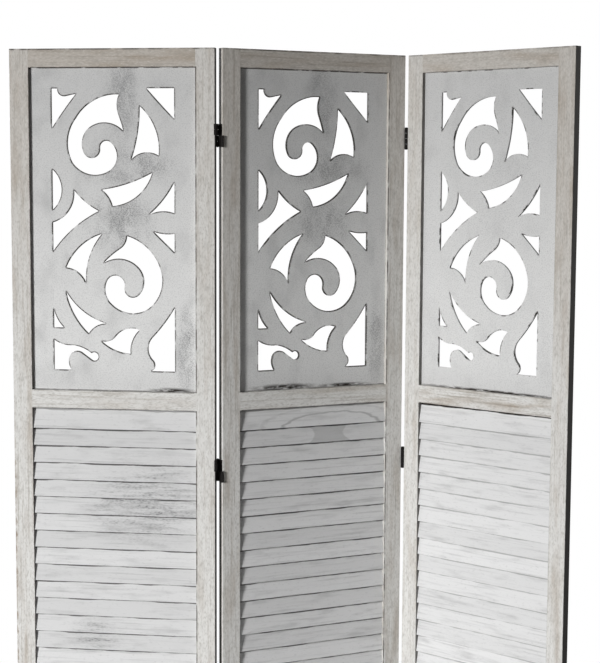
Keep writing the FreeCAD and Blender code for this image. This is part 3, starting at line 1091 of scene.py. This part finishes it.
@dataclass(frozen=True)
class PaleFloor:
    """Matt pale paint, rolled on smooth, that fades out into the white surround.

    The eye gets an even off-white with hardly a mottle and the screen's soft shadow on it.
    """

    pale: str = "#EDEDEC"
    paler: str = "#F3F3F2"
    mottle_mm: float = 1666.7
    mottle_detail: float = 2.0
    roughness: float = 0.9
    glow: float = 0.7
    fade_m: tuple[float, float] = (0.9, 1.6975)

    def make(self, name: str) -> bpy.types.Material:
        """Make the material, solid round the middle and clear at the rim.

        Args:
            name: The material's name.

        Returns:
            The material.
        """
        material = bpy.data.materials.new(name)
        material.use_nodes = True
        tree = material.node_tree
        source = add_node(tree, "TexCoord", output="Object")
        mottle = add_node(tree, "TexNoise", inputs={
            "Vector": source, "Scale": 1 / (self.mottle_mm * MM), "Detail": self.mottle_detail})
        layers = {SHARE: mottle, UNDER: linear(self.pale), OVER: linear(self.paler)}
        mixed = add_node(tree, "Mix", inputs=layers, **COLOURS)
        shader = tree.nodes["Principled BSDF"]
        shader.inputs["Roughness"].default_value = self.roughness
        tree.links.new(mixed, shader.inputs["Base Color"])
        reach = add_node(tree, "VectorMath", source, operation="LENGTH", output="Value")
        fade = add_node(tree, "MapRange", reach, *self.fade_m, **SOFTLY)
        glow = add_node(tree, "Emission", mixed, 1.0)
        seen = add_node(tree, "Math", seen_ray(tree), self.glow, operation="MULTIPLY")
        lit = add_node(tree, "MixShader", seen, shader.outputs["BSDF"], glow)
        both = add_node(tree, "MixShader", fade, lit, add_node(tree, "BsdfTransparent"))
        tree.links.new(both, tree.nodes["Material Output"].inputs["Surface"])
        return material


@dataclass
class Studio:
    """The stage: a pale floor, a white surround, three lamps and the camera."""

    floor_radius: float = 1.75
    floor_sides: int = 96
    key_turn: float = 29.0
    key_distance: float = 6.0
    key_height: float = 2.0
    key_aim_height: float = 0.2
    key_power: float = 57.0
    back_turn: float = 135.0
    back_distance: float = 5.0
    back_height: float = 1.8
    back_power: float = 24.0
    lamp_size: float = 1.2
    lamp_spread: float = 75.0
    fill_strength: float = 0.04
    camera_place: Vector = field(default_factory=lambda: Vector((0.50003, -3.39164, 1.45210)))
    camera_turn: float = 8.274
    camera_dip: float = 6.654
    camera_roll: float = 0.274
    focal_pixels: float = 1744.87
    sensor_mm: float = 36.0
    rise_share: float = 0.08

    def lay_floor(self) -> None:
        """Lay a pale round floor that takes the screen's shadow and fades out into the surround."""
        mesh = bpy.data.meshes.new("floor")
        shape = bmesh.new()
        bmesh.ops.create_circle(shape, cap_ends=True, segments=self.floor_sides, radius=self.floor_radius)
        shape.to_mesh(mesh)
        shape.free()
        floor = bpy.data.objects.new("floor", mesh)
        bpy.context.scene.collection.objects.link(floor)
        mesh.materials.append(PaleFloor().make("pale_floor"))
        LOG.info("laid %s", floor.name)

    def set_surround(self) -> None:
        """Make the surround white to the camera and a weak fill to everything else."""
        world = bpy.data.worlds.new("white_surround")
        world.use_nodes = True
        tree = world.node_tree
        strength = add_node(tree, "MapRange", seen_ray(tree), inputs={"To Min": self.fill_strength})
        background = tree.nodes["Background"]
        background.inputs["Color"].default_value = linear("#FFFFFF")
        tree.links.new(strength, background.inputs["Strength"])
        bpy.context.scene.world = world
        LOG.info("set %s", world.name)

    def hang_lamp(self, name: str, turn: float, distance: float, height: float, aim: float,
                  power: float) -> None:
        """Hang a soft lamp round the screen.

        Args:
            name: The lamp's name.
            turn: How far to the left of the screen's front it hangs, in degrees.
            distance: How far from the screen it hangs.
            height: How high it hangs.
            aim: The height that it is aimed at, at the screen.
            power: Its power in watts.
        """
        lamp = bpy.data.lights.new(name, "AREA")
        lamp.shape = "SQUARE"
        lamp.size = self.lamp_size
        lamp.spread = math.radians(self.lamp_spread)
        lamp.energy = power
        holder = bpy.data.objects.new(name, lamp)
        bpy.context.scene.collection.objects.link(holder)
        way = math.radians(turn)
        holder.location = Vector((-math.sin(way) * distance, -math.cos(way) * distance, height))
        gaze = Vector((0.0, 0.0, aim)) - holder.location
        holder.rotation_euler = gaze.to_track_quat("-Z", "Y").to_euler()
        LOG.info("hung %s", holder.name)

    def hang_lamps(self) -> None:
        """Hang the key to the viewer's left, aimed low, and a lamp for each side of the screen's back."""
        self.hang_lamp("key_lamp", self.key_turn, self.key_distance, self.key_height, self.key_aim_height,
                       self.key_power)
        for name, turn in (("back_left_lamp", self.back_turn), ("back_right_lamp", -self.back_turn)):
            self.hang_lamp(name, turn, self.back_distance, self.back_height, self.back_height / 2,
                           self.back_power)

    def place_camera(self) -> None:
        """Stand the camera where the picture was taken from."""
        data = bpy.data.cameras.new("camera")
        data.sensor_width = self.sensor_mm
        data.lens = self.focal_pixels * data.sensor_width / max(IMAGE_SIZE)
        data.shift_y = self.rise_share
        camera = bpy.data.objects.new("camera", data)
        bpy.context.scene.collection.objects.link(camera)
        angles = (self.camera_turn, self.camera_dip, self.camera_roll)
        turn, dip, roll = (math.radians(angle) for angle in angles)
        level = Matrix.Rotation(turn, 4, "Z") @ Matrix.Rotation(math.pi / 2 - dip, 4, "X")
        camera.matrix_world = Matrix.Translation(self.camera_place) @ level @ Matrix.Rotation(roll, 4, "Z")
        bpy.context.scene.camera = camera
        LOG.info("placed %s", camera.name)


def main() -> None:
    """Dress the screen and set its stage."""
    logging.basicConfig(level=logging.INFO, format="%(name)s: %(message)s")
    bpy.context.scene.view_settings.view_transform = "Standard"
    pine, board, slats = WhitewashedPine(), WhitewashedBoard(), WhitewashedSlat()
    # How worn each panel is also sets how dark its painted shadow lines are, which differ with how the key
    # lamp falls on it.
    panels = (
        Panel(Side.LEFT, seed=11.0, wear_and_shade=0.85, smeared=1.0,
              marks=SlatMarks(0.5, (Smear(262.0, 830.0, 160.0, 115.0), Smear(165.0, 560.0, 80.0, 45.0))),
              foot_stains=(Smear(313.0, 2.0, 60.0, 8.0),),
              stile_thin=(0.34, 0.16), rail_thin=0.52, middle_thin=0.22,
              left_edges=EdgeStainAndShade(7.5, 0.7, scuffed=0.8), right_edges=EdgeStainAndShade(0.6, 0.0, inner_rub=1.0)),
        Panel(Side.CENTRE, seed=34.0, wear_and_shade=0.85, smeared=0.8,
              marks=SlatMarks(0.55, figure=Figure()),
              foot_stains=(Smear(136.0, 4.0, 90.0, 10.0), Smear(268.0, 3.0, 75.0, 6.0)),
              stile_thin=(0.36, 0.28), rail_thin=0.43, middle_thin=0.30,
              left_edges=EdgeStainAndShade(5.5, 0.7), right_edges=EdgeStainAndShade(0.6, 0.0, inner_rub=0.8)),
        Panel(Side.RIGHT, seed=57.0, wear_and_shade=0.45, smeared=0.15,
              marks=SlatMarks(1.0), foot_stains=(Smear(215.0, 1.0, 260.0, 5.0),),
              stile_thin=(0.18, 0.34), rail_thin=0.36, middle_thin=0.72, right_bare_mm=1440.0))
    for panel in panels:
        panel.dress(pine, board, slats)
    paint = BlackedSteel().make("blacked_steel")
    Fold("left_fold", Side.LEFT, Side.CENTRE, paint).dress()
    Fold("right_fold", Side.CENTRE, Side.RIGHT, paint).dress()
    studio = Studio()
    studio.lay_floor()
    studio.set_surround()
    studio.hang_lamps()
    studio.place_camera()


if __name__ == "__main__":
    main()
